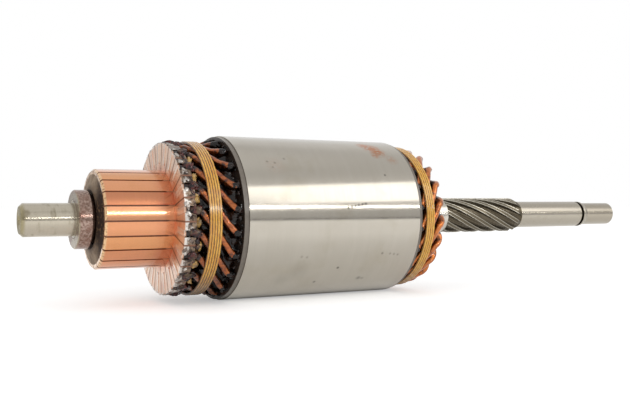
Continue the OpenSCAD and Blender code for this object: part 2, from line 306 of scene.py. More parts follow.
def coil_route(tip_shift):
    """Rows of station, angle from the coil's middle, radius and turn of the hairpin."""
    front = [riser_x] + spread(ramp_x, front_bend_x, FRONT_STEPS)
    stations = front + spread(rear_bend_x, nose_x, REAR_STEPS)
    upper = [(x, half_span(x), upper_radius(x), 0) for x in stations]
    nose = []
    for turn in range(LOOP_STEP, 180, LOOP_STEP):
        t = math.radians(turn)
        nose.append((
            nose_x + nose_r * math.sin(t),
            tip_half * (1 - turn / 90),
            rear_upper_r - nose_r + nose_r * math.cos(t),
            turn,
        ))
    lower = [(x, -half_span(x), upper_radius(x) - LAYER_STEP, 180) for x in reversed(stations)]
    rows = upper + nose + lower
    reach = nose_x - rear_bend_x
    return [(x + tip_shift * smooth((x - rear_bend_x) / reach), a, r, turn) for x, a, r, turn in rows]


def rounded_section(width, height, corner, steps):
    """Points of a rounded rectangle, height outwards, and one in the middle of its outer and inner face."""
    points = []
    for quarter, (sx, sy) in enumerate([(1, 1), (-1, 1), (-1, -1), (1, -1)]):
        for k in range(steps):
            a = math.radians(90 * quarter + 90 * (k + 0.5) / steps)
            points.append((
                sx * (width / 2 - corner) + corner * math.cos(a),
                sy * (height / 2 - corner) + corner * math.sin(a),
            ))
        if quarter in (0, 2):
            points.append((0.0, sy * height / 2))
    return points


def sweep(route, turned_by, section):
    """Points of a section swept along a coil's route, ring by ring, in metres."""
    centres = [polar(x, a + turned_by, r) / MM for x, a, r, _ in route]
    points = []
    last = len(route) - 1
    for i, (_, a, _, turn) in enumerate(route):
        along = Vector((0, 0, 0))
        if i > 0:
            along += (centres[i] - centres[i - 1]).normalized()
        if i < last:
            along += (centres[i + 1] - centres[i]).normalized()
        t = math.radians(turn)
        angle = math.radians(a + turned_by)
        outward = Vector((math.sin(t), math.cos(t) * math.cos(angle), math.cos(t) * math.sin(angle)))
        across = along.normalized().cross(outward).normalized()
        out = across.cross(along.normalized())
        points.extend((centres[i] + u * across + v * out) * MM for u, v in section)
    return points


# ---------- Materials ----------

SMOOTH = {"interpolation_type": "SMOOTHSTEP"}


def srgb(text):
    """Linear RGBA of an sRGB hex colour."""
    values = [int(text[i:i + 2], 16) / 255 for i in (1, 3, 5)]
    linear = [v / 12.92 if v <= 0.04045 else ((v + 0.055) / 1.055) ** 2.4 for v in values]
    return (*linear, 1.0)


def add(tree, kind, *inputs, out=0, to=None, **settings):
    """Adds a shader node, and gives one of its outputs, which also goes to a socket if one is named.

    Inputs are in the node's order: numbers, hex colours, other nodes' outputs, or None to leave one alone.
    """
    node = tree.nodes.new("ShaderNode" + kind)
    for name, value in settings.items():
        setattr(node, name, value)
    for socket, value in zip(node.inputs, inputs):
        if isinstance(value, bpy.types.NodeSocket):
            tree.links.new(value, socket)
        elif value is not None:
            socket.default_value = srgb(value) if isinstance(value, str) else value
    if to is not None:
        tree.links.new(node.outputs[out], to)
    return node.outputs[out]


def start_material(name, roughness, metallic=0.0, **sockets):
    """A material with its Principled shader, and the surface's own coordinates in millimetres."""
    material = bpy.data.materials.new(name)
    material.use_nodes = True
    tree = material.node_tree
    shader = tree.nodes["Principled BSDF"].inputs
    shader["Roughness"].default_value = roughness
    shader["Metallic"].default_value = metallic
    for socket, value in sockets.items():
        shader[socket.replace("_", " ").title()].default_value = value
    place = add(tree, "TexCoord", out="Object")
    return material, tree, shader, add(tree, "VectorMath", place, (1 / MM,) * 3, operation="MULTIPLY")


def grain(tree, place, size, stretch=(1, 1, 1), detail=3.0):
    """Noise from 0 to 1 with spots of about size millimetres, longer along an axis by its stretch."""
    scale = tuple(1 / (size * s) for s in stretch)
    spots = add(tree, "VectorMath", place, scale, operation="MULTIPLY")
    return add(tree, "TexNoise", spots, None, 1.0, detail)


def axis_parts(tree, place):
    """Station along the shaft and distance from its axis, both in millimetres."""
    x, y, z = add(tree, "SeparateXYZ", place).node.outputs
    flat = add(tree, "CombineXYZ", 0.0, y, z)
    return x, add(tree, "VectorMath", flat, operation="LENGTH", out="Value")


def turned_round(tree, shader, amount):
    """Makes the gloss spread along the shaft, as fine marks round it do."""
    shader["Anisotropic"].default_value = amount
    shader["Anisotropic Rotation"].default_value = 0.25
    add(tree, "Tangent", direction_type="RADIAL", axis="X", to=shader["Tangent"])


def spot(tree, place, station, angle, r, reach, strength):
    """The strength at a place on the surface, falling to 0 at the given reach round it."""
    centre = tuple(v / MM for v in polar(station, angle, r))
    gap = add(tree, "VectorMath", place, centre, operation="DISTANCE", out="Value")
    return add(tree, "MapRange", gap, 0.0, reach, strength, 0.0, **SMOOTH)


def between(tree, value, low, high, edge=0.15):
    """1 from low to high, with edges of the given width, and 0 outside."""
    rise = add(tree, "MapRange", value, low - edge, low, **SMOOTH)
    fall = add(tree, "MapRange", value, high, high + edge, 1.0, 0.0, **SMOOTH)
    return add(tree, "Math", rise, fall, operation="MULTIPLY")


def dark_specks():
    """The single specks and those of the rows, each as station, angle, reach and strength."""
    in_rows = [
        (station + i * along, angle + i * around, reach, strength)
        for station, angle, along, around, count, reach, strength in SPECK_ROWS
        for i in range(count)
    ]
    return in_rows + SINGLE_SPECKS


def ground_lamination_steel():
    """Electrical steel sheets, stacked and ground on the outside: satin, with fine rings of grinding marks.

    The marks and the 0.5 mm sheets are too fine to show, so the rings are drawn 0.7 and 5 mm wide.
    """
    material, tree, shader, place = start_material("ground_lamination_steel", 0.22, 1.0)
    rings = grain(tree, place, 0.7, (1, 60, 60))
    wide_rings = grain(tree, place, 5.0, (1, 25, 25))
    wide_rings = add(tree, "MapRange", wide_rings, 0.4, 0.7, 0.0, 0.15, **SMOOTH)
    clouds = add(tree, "MapRange", grain(tree, place, 16.0), 0.5, 0.75, 0.0, 0.3, **SMOOTH)
    colour = add(tree, "MixRGB", rings, "#ABA59A", "#B1ABA0")
    colour = add(tree, "MixRGB", wide_rings, colour, "#B9B4AB")
    colour = add(tree, "MixRGB", clouds, colour, "#9F9684")
    pits = add(tree, "MapRange", grain(tree, place, 1.3, detail=6.0), 0.36, 0.52, **SMOOTH)
    for station, angle, reach, strength in RUST_PATCHES:
        patch = spot(tree, place, station, angle, core_r, reach, strength)
        patch = add(tree, "Math", patch, pits, operation="MULTIPLY")
        colour = add(tree, "MixRGB", patch, colour, "#A8683C")
    for station, angle, reach, strength in dark_specks():
        speck = spot(tree, place, station, angle, core_r, reach, strength)
        colour = add(tree, "MixRGB", speck, colour, "#24201B")
    tree.links.new(colour, shader["Base Color"])
    smudges = grain(tree, place, 9.0, detail=4.0)
    add(tree, "MapRange", smudges, 0.3, 0.75, 0.15, 0.19, to=shader["Roughness"], **SMOOTH)
    add(tree, "Bump", 1.0, 0.001 * MM, 0.1, rings, to=shader["Normal"])
    turned_round(tree, shader, 0.75)
    return material


def spline_colour(tree, place, station, radius):
    """Oil-dark grooves, brown crests with a painted highlight on their edges, and fine lines along them."""
    _, y, z = add(tree, "SeparateXYZ", place).node.outputs

    # Turns of the splines at a point: a whole number in the middle of each crest
    angle = add(tree, "Math", z, y, operation="ARCTAN2")
    start = SPLINE_COUNT * (SPLINE_X / SPLINE_LEAD - SPLINE_PHASE / 360)
    helix = add(tree, "Math", angle, SPLINE_COUNT / (2 * math.pi), start, operation="MULTIPLY_ADD")
    helix = add(tree, "Math", station, -SPLINE_COUNT / SPLINE_LEAD, helix, operation="MULTIPLY_ADD")
    off_crest = add(tree, "Math", helix, 0.5, operation="PINGPONG")
    along_helix = add(tree, "CombineXYZ",
                      add(tree, "Math", helix, 9.0, operation="MULTIPLY"),
                      add(tree, "Math", station, 0.02, operation="MULTIPLY"),
                      add(tree, "Math", radius, 0.8, operation="MULTIPLY"))
    lines = add(tree, "TexNoise", along_helix, None, 1.0, 3.0)
    lines = add(tree, "MapRange", lines, 0.35, 0.65, **SMOOTH)
    groove = add(tree, "MixRGB", lines, "#40392D", "#6E6556")
    # Painted highlight along both edges of each crest
    crest_edge_highlight = add(tree, "MapRange", off_crest, 0.11, 0.15, **SMOOTH)
    crest = add(tree, "MixRGB", lines, "#675F4F", "#7E7564")
    crest = add(tree, "MixRGB", crest_edge_highlight, crest, "#E2DCCD")
    up_flank = add(tree, "MapRange", radius, SPLINE_R - 0.8, SPLINE_R - 0.1, **SMOOTH)
    toothed = add(tree, "MixRGB", up_flank, groove, crest)
    # Darker towards the bottom of the shaft
    darker_below = add(tree, "MapRange", z, -4.0, 6.0, 0.45, 0.0, **SMOOTH)
    toothed = add(tree, "MixRGB", darker_below, toothed, "#4A4234")
    taper = SPLINE_END_X - 5.5
    oily_taper = add(tree, "MapRange", station, taper, taper + 5, 0.0, 0.55, **SMOOTH)
    return add(tree, "MixRGB", oily_taper, toothed, "#5B5342")


def ground_shaft_steel():
    """Carbon steel shaft: ground journals, and helical splines with a painted highlight on each crest edge.

    Grinding marks are about 0.1 mm apart. They are drawn 0.6 mm apart, so that they show.
    """
    material, tree, shader, place = start_material("ground_shaft_steel", 0.27, 1.0)
    station, radius = axis_parts(tree, place)
    front = low_x("shaft")
    back = high_x("shaft")
    rings = grain(tree, place, 0.6, (1, 40, 40))
    finger_marks = grain(tree, place, 5.0, (1, 2, 2), 6.0)
    finger_marks = add(tree, "MapRange", finger_marks, 0.52, 0.66, 0.0, 0.6, **SMOOTH)
    on_journal = add(tree, "MapRange", station, -1.0, 0.0, 1.0, 0.0, **SMOOTH)
    in_splines = between(tree, station, SPLINE_X, SPLINE_END_X, 0.3)
    in_ring_groove = between(tree, station, RING_GROOVE_X, RING_GROOVE_END_X, 0.1)
    deep = add(tree, "MapRange", radius, 7.5, 8.0, 1.0, 0.0, **SMOOTH)
    end_stain = add(tree, "MapRange", station, front + 0.6, front + 2.2, 0.75, 0.0, **SMOOTH)
    neck = between(tree, station, core_end_x, SPLINE_X, 0.4)
    behind_splines = add(tree, "MapRange", station, SPLINE_END_X, SPLINE_END_X + 1, **SMOOTH)
    pilot = add(tree, "MapRange", station, PILOT_X - 2, PILOT_X, **SMOOTH)
    clouds = add(tree, "MapRange", grain(tree, place, 4.0, detail=5.0), 0.55, 0.8, 0.0, 0.35, **SMOOTH)
    # Painted highlight, pale and bluish, on the chamfer at the drive end
    end_chamfer_highlight = add(tree, "MapRange", station, back - 1.7, back - 1.1, 0.0, 0.8, **SMOOTH)
    colour = add(tree, "MixRGB", rings, "#AEA696", "#B8B0A0")
    for share, tint in [
        (end_stain, "#938863"),
        (neck, "#BFBAB0"),
        (behind_splines, "#A59E91"),
        (pilot, "#A0988A"),
        (clouds, "#8F8672"),
        (end_chamfer_highlight, "#C3C8CA"),
        (add(tree, "Math", finger_marks, on_journal, operation="MULTIPLY"), "#7C7158"),
        (in_splines, spline_colour(tree, place, station, radius)),
        (add(tree, "Math", in_ring_groove, deep, operation="MULTIPLY"), "#3A352B"),
    ]:
        colour = add(tree, "MixRGB", share, colour, tint)
    tree.links.new(colour, shader["Base Color"])
    gloss = add(tree, "MapRange", on_journal, 0.0, 1.0, 0.27, 0.19)
    sawn_end = add(tree, "MapRange", station, front, front + 0.4, 0.3, 0.0)
    gloss = add(tree, "Math", gloss, sawn_end, operation="ADD")
    add(tree, "Math", in_splines, 0.15, gloss, operation="MULTIPLY_ADD", to=shader["Roughness"])
    add(tree, "Bump", 1.0, 0.0003 * MM, 0.1, rings, to=shader["Normal"])
    turned_round(tree, shader, 0.6)
    return material


def rusty_hub_steel():
    """Turned steel hub: its face is machined, and its rim has a thin brown rust with a purple tinge."""
    material, tree, shader, place = start_material("rusty_hub_steel", 0.23, 0.95)
    station, radius = axis_parts(tree, place)
    spots = grain(tree, place, 0.9, detail=5.0)
    clouds = grain(tree, place, 4.0)
    speckled = add(tree, "MapRange", spots, 0.35, 0.65, **SMOOTH)
    rim = add(tree, "MixRGB", speckled, "#785F53", "#A48E83")
    cloudy = add(tree, "MapRange", clouds, 0.5, 0.7, 0.0, 0.6, **SMOOTH)
    rim = add(tree, "MixRGB", cloudy, rim, "#7A594D")
    patchy = add(tree, "MapRange", clouds, 0.4, 0.65, **SMOOTH)
    face = add(tree, "MixRGB", patchy, "#A0947F", "#84695A")
    on_rim = add(tree, "MapRange", station, 0.1, 0.7, **SMOOTH)
    colour = add(tree, "MixRGB", on_rim, face, rim)
    near_bore = add(tree, "MapRange", radius, 8.3, 9.6, 0.75, 0.0, **SMOOTH)
    colour = add(tree, "MixRGB", near_bore, colour, "#5A4A3E")
    # Painted shade on the hub's sleeve, in the gap behind the collar
    sleeve = add(tree, "MapRange", station, HUB_COLLAR_LEN - 0.1, HUB_COLLAR_LEN + 0.3, **SMOOTH)
    add(tree, "MixRGB", sleeve, colour, "#523C32", to=shader["Base Color"])
    add(tree, "Bump", 1.0, 0.006 * MM, 0.1, spots, to=shader["Normal"])
    turned_round(tree, shader, 0.5)
    return material


def phenolic_moulding():
    """Brown-black phenolic compound, moulded between the hub and the bars: dull and mottled.

    A painted shadow of the collar darkens its inner edge, and painted shade darkens its near side.
    """
    material, tree, shader, place = start_material("phenolic_moulding", 0.6)
    shader["Specular IOR Level"].default_value = 0.12
    _, radius = axis_parts(tree, place)
    _, y, _ = add(tree, "SeparateXYZ", place).node.outputs
    spots = grain(tree, place, 1.1, detail=5.0)
    clouds = grain(tree, place, 5.0)
    cloudy = add(tree, "MapRange", clouds, 0.35, 0.65, **SMOOTH)
    rim = add(tree, "Math", spots, 4.0, radius, operation="MULTIPLY_ADD")
    # Reach of a painted shadow of the collar round the inner edge, and of painted shade on the near (-Y)
    # side
    collar_shadow_reach = add(tree, "Math", clouds, 5.0, radius, operation="MULTIPLY_ADD")
    side = add(tree, "Math", clouds, 10.0, y, operation="MULTIPLY_ADD")
    colour = add(tree, "MixRGB", cloudy, "#A8947E", "#75604D")
    for value, start, end, share, end_share, tint in [
        (rim, 24.0, 25.2, 0.0, 0.85, "#8E6038"),
        (spots, 0.5, 0.7, 0.0, 0.6, "#A4927A"),
        # painted shadow of the collar
        (collar_shadow_reach, 15.5, 20.0, 0.75, 0.0, "#33211C"),
        # painted shade on the near side
        (side, -11.0, -2.0, 0.95, 0.0, "#261814"),
        (spots, 0.56, 0.66, 0.0, 0.7, "#8A6C4C"),
    ]:
        stained = add(tree, "MapRange", value, start, end, share, end_share, **SMOOTH)
        colour = add(tree, "MixRGB", stained, colour, tint)
    tree.links.new(colour, shader["Base Color"])
    add(tree, "Bump", 1.0, 0.15 * MM, 0.1, spots, to=shader["Normal"])
    return material


def flush_mica():
    """Mica segments: dark where they are undercut, smeared with copper where they were turned flush."""
    material, tree, shader, place = start_material("flush_mica", 0.5)
    station, radius = axis_parts(tree, place)
    colour = add(tree, "MixRGB", grain(tree, place, 0.8), "#6B4430", "#8C5E44")
    at_riser = add(tree, "MapRange", station, riser_x - 4.5, riser_x - 2.5, **SMOOTH)
    on_track = between(tree, radius, TRACK_R - 0.1, TRACK_R + 0.2, 0.25)
    smear = add(tree, "Math", at_riser, on_track, operation="MULTIPLY")
    smear = add(tree, "Math", smear, 0.6, operation="MULTIPLY")
    add(tree, "MixRGB", smear, colour, "#B9714A", to=shader["Base Color"])
    return material


def turned_copper(tone):
    """Hard copper bars, turned as one: a salmon track with a heat tint by the risers, and paler riser faces.

    A film of oil on the track gives its sharp white line of gloss. Solder was wiped over the front edge of
    the rim, and the rest of the rim is browned by flux. Marks of the tool are about 0.1 mm apart, and drawn
    0.5 mm apart.
    """
    material, tree, shader, place = start_material(
        f"turned_copper_{tone}", 0.27, 1.0, coat_weight=0.7, coat_roughness=0.05)
    station, radius = axis_parts(tree, place)
    rings = grain(tree, place, 0.5, (1, 40, 40))
    clouds = grain(tree, place, 6.0, (2, 1, 1))
    tint, heat_share = BAR_TONES[tone]
    track = add(tree, "MixRGB", rings, "#D29064", "#E3A57C")
    track = add(tree, "MixRGB", 0.6, track, tint)
    cloudy = add(tree, "MapRange", clouds, 0.5, 0.75, 0.0, 0.35, **SMOOTH)
    track = add(tree, "MixRGB", cloudy, track, "#C98A52")
    wave = add(tree, "Math", clouds, 9.0, station, operation="MULTIPLY_ADD")
    heat = add(tree, "MapRange", wave, riser_x - 6.0, riser_x + 3.0, 0.0, heat_share, **SMOOTH)
    patchy = add(tree, "MapRange", clouds, 0.4, 0.6, 0.3, 1.0, **SMOOTH)
    heat = add(tree, "Math", heat, patchy, operation="MULTIPLY")
    track = add(tree, "MixRGB", heat, track, "#C05238")
    # Painted highlight along the bars' front edge, pale cream, with real brown spots on it
    lip = add(tree, "MapRange", station, bar_start_x + 0.5, bar_start_x + 1.5, 0.8, 0.0, **SMOOTH)
    track = add(tree, "MixRGB", lip, track, "#E2C092")
    lip_spots = add(tree, "MapRange", grain(tree, place, 1.1), 0.5, 0.62, **SMOOTH)
    lip_stain = add(tree, "Math", lip, lip_spots, operation="MULTIPLY")
    track = add(tree, "MixRGB", lip_stain, track, "#8A5A36")

    streaks = add(tree, "MapRange", grain(tree, place, 0.6, (12, 1, 1)), 0.35, 0.65, **SMOOTH)
    reddened = add(tree, "MapRange", grain(tree, place, 5.0), 0.48, 0.7, 0.0, 0.35, **SMOOTH)
    near_track = add(tree, "MapRange", radius, TRACK_R + 0.5, TRACK_R + 4.0, 0.55, 0.0, **SMOOTH)
    face = add(tree, "MixRGB", streaks, "#D9B59A", "#E8CCB4")
    face = add(tree, "MixRGB", reddened, face, "#D68A6A")
    face = add(tree, "MixRGB", near_track, face, "#D68E62")
    ragged = grain(tree, place, 1.8, detail=4.0)
    edge = add(tree, "Math", ragged, 5.0, radius, operation="MULTIPLY_ADD")
    wiped = add(tree, "MapRange", edge, RISER_R + 1.3, RISER_R + 2.4, 0.0, 0.85, **SMOOTH)
    face = add(tree, "MixRGB", wiped, face, "#DDD6CE")
    past_track = add(tree, "MapRange", radius, TRACK_R + 0.1, TRACK_R + 0.4, **SMOOTH)
    colour = add(tree, "MixRGB", past_track, track, face)

    browned = add(tree, "MapRange", grain(tree, place, 1.6, detail=4.0), 0.4, 0.62, **SMOOTH)
    rim = add(tree, "MixRGB", browned, "#33241D", "#86705C")
    _, _, z = add(tree, "SeparateXYZ", place).node.outputs
    bare_top = add(tree, "MapRange", z, 6.0, 26.0, 0.0, 2.2, **SMOOTH)
    reach = add(tree, "Math", station, bare_top, operation="ADD")
    reach = add(tree, "Math", ragged, -5.0, reach, operation="MULTIPLY_ADD")
    soldered = add(tree, "MapRange", reach, riser_x - 1.6, riser_x - 0.4, 0.95, 0.0, **SMOOTH)
    rim = add(tree, "MixRGB", soldered, rim, "#DCD6CF")
    on_rim = add(tree, "MapRange", radius, RISER_R - 0.25, RISER_R - 0.05, **SMOOTH)
    add(tree, "MixRGB", on_rim, colour, rim, to=shader["Base Color"])
    add(tree, "MapRange", past_track, 0.0, 1.0, 0.25, 0.4, to=shader["Roughness"])
    add(tree, "Bump", 1.0, 0.002 * MM, 0.1, rings, to=shader["Normal"])
    turned_round(tree, shader, 0.85)
    return material


def varnished_fibre(name):
    """Fibre end disc soaked in black baking varnish, with its rim ground grey together with the stack."""
    material, tree, shader, place = start_material(name, 0.3)
    _, radius = axis_parts(tree, place)
    clouds = grain(tree, place, 3.0)
    face = add(tree, "MixRGB", clouds, "#1C1511", "#3A2C22")
    rim = add(tree, "MixRGB", clouds, "#625A51", "#7A7166")
    on_rim = add(tree, "MapRange", radius, core_r - 1.0, core_r - 0.6, **SMOOTH)
    add(tree, "MixRGB", on_rim, face, rim, to=shader["Base Color"])
    add(tree, "Bump", 1.0, 0.15 * MM, 0.1, clouds, to=shader["Normal"])
    return material


def baking_varnish(name, dark, light, depth_mm=0.3):
    """Insulating varnish, dipped and baked: nearly black, wet-looking, with runs and pinholes."""
    material, tree, shader, place = start_material(name, 0.1)
    shader["Specular IOR Level"].default_value = 0.35
    lumps = grain(tree, place, 1.8, detail=2.0)
    cloudy = add(tree, "MapRange", grain(tree, place, 3.5), 0.4, 0.7, **SMOOTH)
    add(tree, "MixRGB", cloudy, dark, light, to=shader["Base Color"])
    add(tree, "MapRange", lumps, 0.3, 0.7, 0.05, 0.2, to=shader["Roughness"], **SMOOTH)
    add(tree, "Bump", 1.0, depth_mm * MM, 0.1, lumps, to=shader["Normal"])
    return material


def varnished_copper_wire():
    """Flat copper conductors under a coat of brown varnish, thick and black near the cuffs and the risers.

    Painted shade darkens the wires' sides, their undersides and the lower layer.
    """
    material, tree, shader, place = start_material(
        "varnished_copper_wire", 0.28, 0.8, coat_weight=0.7, coat_roughness=0.06)
    shade = add(tree, "Attribute", attribute_name="shade", out="Fac")
    station, _ = axis_parts(tree, place)
    spots = grain(tree, place, 2.2, detail=4.0)
    streaks = add(tree, "MapRange", grain(tree, place, 1.0, (6, 1, 1)), 0.3, 0.7, **SMOOTH)
    brown = add(tree, "MapRange", spots, 0.45, 0.7, 0.0, 0.75, **SMOOTH)
    to_rear = add(tree, "MapRange", station, core_x, core_end_x, 0.0, 0.8, **SMOOTH)
    copper = add(tree, "MixRGB", streaks, "#8E4418", "#AE6026")
    copper = add(tree, "MixRGB", to_rear, copper, "#BE6A22")
    copper = add(tree, "MixRGB", brown, copper, "#5A2810")
    # Shade attribute: varnish at cuffs and risers, painted shade on sides, undersides and lower layer
    uneven = add(tree, "MapRange", spots, 0.3, 0.7, -0.2, 0.2, **SMOOTH)
    uneven = add(tree, "Math", shade, uneven, operation="ADD")
    dark = add(tree, "MapRange", uneven, 0.15, 0.75, **SMOOTH)
    colour = add(tree, "MixRGB", dark, copper, "#1B0F0A")
    faced = add(tree, "MapRange", station, riser_x + 0.3, riser_x + 0.7, 1.0, 0.0, **SMOOTH)
    add(tree, "MixRGB", faced, colour, "#D3A88E", to=shader["Base Color"])
    add(tree, "Bump", 1.0, 0.08 * MM, 0.1, spots, to=shader["Normal"])
    return material


def resin_soaked_cord(name, light, deep, resin_brown, bottom_shade):
    """Glass cord soaked in resin: gold, darker where the resin lies between the turns, with a hard gloss.

    The resin levels the turns, so its gloss runs along the whole band rather than along each cord.
    Painted shade darkens the band towards the bottom.
    """
    material, tree, shader, place = start_material(name, 0.35, coat_weight=0.85, coat_roughness=0.2)
    shade = add(tree, "Attribute", attribute_name="shade", out="Fac")
    spots = add(tree, "MapRange", grain(tree, place, 2.5, detail=4.0), 0.35, 0.65, **SMOOTH)
    colour = add(tree, "MixRGB", spots, light, deep)
    resin = add(tree, "MapRange", shade, 0.15, 0.8, 0.0, 0.95, **SMOOTH)
    colour = add(tree, "MixRGB", resin, colour, resin_brown)
    _, y, z = add(tree, "SeparateXYZ", place).node.outputs
    outward = add(tree, "CombineXYZ", 0.0, y, z)
    add(tree, "VectorMath", outward, operation="NORMALIZE", to=shader["Coat Normal"])
    # Painted shade towards the bottom of the band
    shaded_bottom = add(tree, "MapRange", z, -38.0, -22.0, bottom_shade, 0.0, **SMOOTH)
    add(tree, "MixRGB", shaded_bottom, colour, "#4A3016", to=shader["Base Color"])
    return material


def tinned_solder():
    """Tin-lead solder that was wiped over the risers: pale grey, lumpy, half bright and half dull."""
    material, tree, shader, place = start_material("tinned_solder", 0.3, 0.9)
    spots = grain(tree, place, 1.1, detail=4.0)
    burnt = add(tree, "MapRange", grain(tree, place, 3.0), 0.48, 0.6, 0.0, 0.8, **SMOOTH)
    colour = add(tree, "MixRGB", spots, "#9B948D", "#D8D2CB")
    add(tree, "MixRGB", burnt, colour, "#5E4A3E", to=shader["Base Color"])
    add(tree, "MapRange", spots, 0.3, 0.7, 0.5, 0.25, to=shader["Roughness"], **SMOOTH)
    add(tree, "Bump", 1.0, 0.12 * MM, 0.1, spots, to=shader["Normal"])
    return material


def scorched_wire_end():
    """Ends of the conductors, scorched when they were soldered: maroon to black under the varnish."""
    material, tree, shader, place = start_material("scorched_wire_end", 0.18, 0.3)
    spots = grain(tree, place, 1.8, detail=4.0)
    warm = add(tree, "MapRange", spots, 0.42, 0.65, **SMOOTH)
    olive = add(tree, "MapRange", grain(tree, place, 4.0), 0.54, 0.64, 0.0, 0.7, **SMOOTH)
    colour = add(tree, "MixRGB", warm, "#1E1011", "#5E2E28")
    add(tree, "MixRGB", olive, colour, "#65523A", to=shader["Base Color"])
    add(tree, "Bump", 1.0, 0.2 * MM, 0.1, spots, to=shader["Normal"])
    return material


def resin_paper():
    """Resin-soaked paper packed between the conductors: tan yellow, browned at its edges."""
    material, tree, shader, place = start_material("resin_paper", 0.4, coat_weight=0.5, coat_roughness=0.15)
    spots = grain(tree, place, 1.3, detail=5.0)
    mottled = add(tree, "MapRange", spots, 0.35, 0.65, **SMOOTH)
    browned = add(tree, "MapRange", grain(tree, place, 2.6), 0.5, 0.62, 0.0, 0.8, **SMOOTH)
    colour = add(tree, "MixRGB", mottled, "#9C7638", "#CDA45A")
    add(tree, "MixRGB", browned, colour, "#5A4A36", to=shader["Base Color"])
    add(tree, "Bump", 1.0, 0.15 * MM, 0.1, spots, to=shader["Normal"])
    return material


# ---------- Pieces ----------

def make_coils(material):
    """The hairpin coils, with rounder corners and smoother bends than the solids they stand for."""
    chance = random.Random(11)
    corner = 1.3
    dark_reach = 9.0
    section = rounded_section(WIRE_W, WIRE_H, corner, 4)
    for i in BARS:
        route = coil_route(chance.uniform(-0.35, 0.0))
        points = sweep(route, slot_angle(i) - slot_half, section)
        faces = skin(len(route), len(section), 0)
        # Varnish lies thick near the cuffs and risers; painted shade darkens the sides,
        # the undersides and the lower layer
        shades = []
        for x, _, _, turn in route:
            to_front = abs(x - front_disc_x) * 1.4
            to_rear = abs(x - rear_disc_end_x) * 1.6
            at_cuff = 1 - smooth(min(to_front, to_rear) / 4.5)
            lower_layer = 0.35 if turn > 90 else 0.0
            at_riser = 0.8 * (1 - smooth((x - riser_back_x) / dark_reach))
            for u, v in section:
                below = clamp(0.5 - v / WIRE_H)
                at_side = (0.42 if x < core_x else 0.15) * smooth(abs(u) / WIRE_W * 2.2)
                shades.append(clamp(max(at_cuff, at_riser, 0.9 * below + lower_layer, at_side)))
        coil = make_piece(f"hairpin_{i}", points, faces, material, shades)
        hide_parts(f"coil_{i}")


def make_band(name, node, turns, material):
    """One cord of three twisted strands, wound side by side, with both of its ends tucked in.

    Such cord is about 0.8 mm thick; it is drawn coarser, so that each turn shows.
    """
    low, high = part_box(node)
    outer = high.z / MM
    cord = 1.42
    strands = 3
    # Length of one turn of the strands, distance between the rings of the mesh, and points in a ring
    lay = 4.2
    step = 0.4
    around = 14
    first_angle = 60
    lead = ((high.x - low.x) / MM - cord) / turns
    centre_r = outer - cord / 2
    length = 2 * math.pi * centre_r * turns
    count = round(length / step)
    points = []
    shades = []
    for k in range(count + 1):
        share = k / count
        angle = first_angle + 360 * turns * share
        x = low.x / MM + cord / 2 + lead * turns * share
        whole = smooth(min(share, 1 - share) * length / 4)
        twist = 2 * math.pi * share * length / lay
        wander = 0.06 * rough(x * 3, angle, centre_r, 5.0)
        for j in range(around):
            a = 2 * math.pi * j / around
            lobe = math.cos(strands * a - twist)
            size = cord / 2 * (0.96 + 0.04 * lobe) * (0.15 + 0.85 * whole)
            r = centre_r - (1 - whole) * 0.5 + size * math.sin(a)
            points.append(polar(x + wander + size * math.cos(a), angle, min(r, outer)))
            flank = smooth((abs(math.cos(a)) - 0.45) / 0.5)
            shades.append(clamp(0.12 - 0.12 * lobe + 0.9 * flank))
    faces = skin(count + 1, around, 0)
    band = make_piece(name, points, faces, material, shades)
    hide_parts(node)


def bar_angle(i):
    return slot_angle(i) - slot_half + riser_half


def make_slot_solder(material):
    """Solder that fills the slots of the risers, and was turned nearly flush with their faces."""
    half_arc = WIRE_W / 2 - 0.1
    bottom = RISER_R - RISER_RIM - LAYER_STEP - WIRE_H
    top = RISER_R - 0.5
    steps = 8
    proud = 0.03
    front = 0.03
    back = 1.2
    points = []
    faces = []
    for i in BARS:
        first = len(points)
        for p in range(steps + 1):
            r = bottom + (top - bottom) * p / steps
            half = math.degrees(half_arc / r)
            for depth, side in ((front, -1), (front, 1), (back, 1), (back, -1)):
                wander = 0.12 * rough(depth, bar_angle(i) + side * 3, r, 1.5, 6.0)
                angle = bar_angle(i) + side * half * (1 - abs(wander))
                points.append(polar(riser_x - proud - front + depth, angle, r))
        faces.extend(skin(steps + 1, 4, first))
    make_piece("slot_solder", points, faces, material)


def lump(centre, axes, unevenness, seed):
    """Points and faces of an uneven ball, in metres. Axes are three vectors in millimetres."""
    rows = 9
    columns = 14
    squareness = 0.45
    points = []
    for p in range(rows):
        polar_angle = math.pi * (p + 0.5) / rows
        for q in range(columns):
            turn = 2 * math.pi * q / columns
            ball = Vector((
                math.cos(polar_angle),
                math.sin(polar_angle) * math.cos(turn),
                math.sin(polar_angle) * math.sin(turn),
            ))
            size = 1 + unevenness * noise.noise(ball * 1.7 + Vector((seed, 0, 0)))
            size += 0.5 * unevenness * noise.noise(ball * 4.0 + Vector((0, seed, 0)))
            square = max(abs(v) for v in ball) ** -squareness
            ball = ball * size * square
            points.append(centre + (axes[0] * ball.x + axes[1] * ball.y + axes[2] * ball.z) * MM)
    return points, skin(rows, columns, 0)


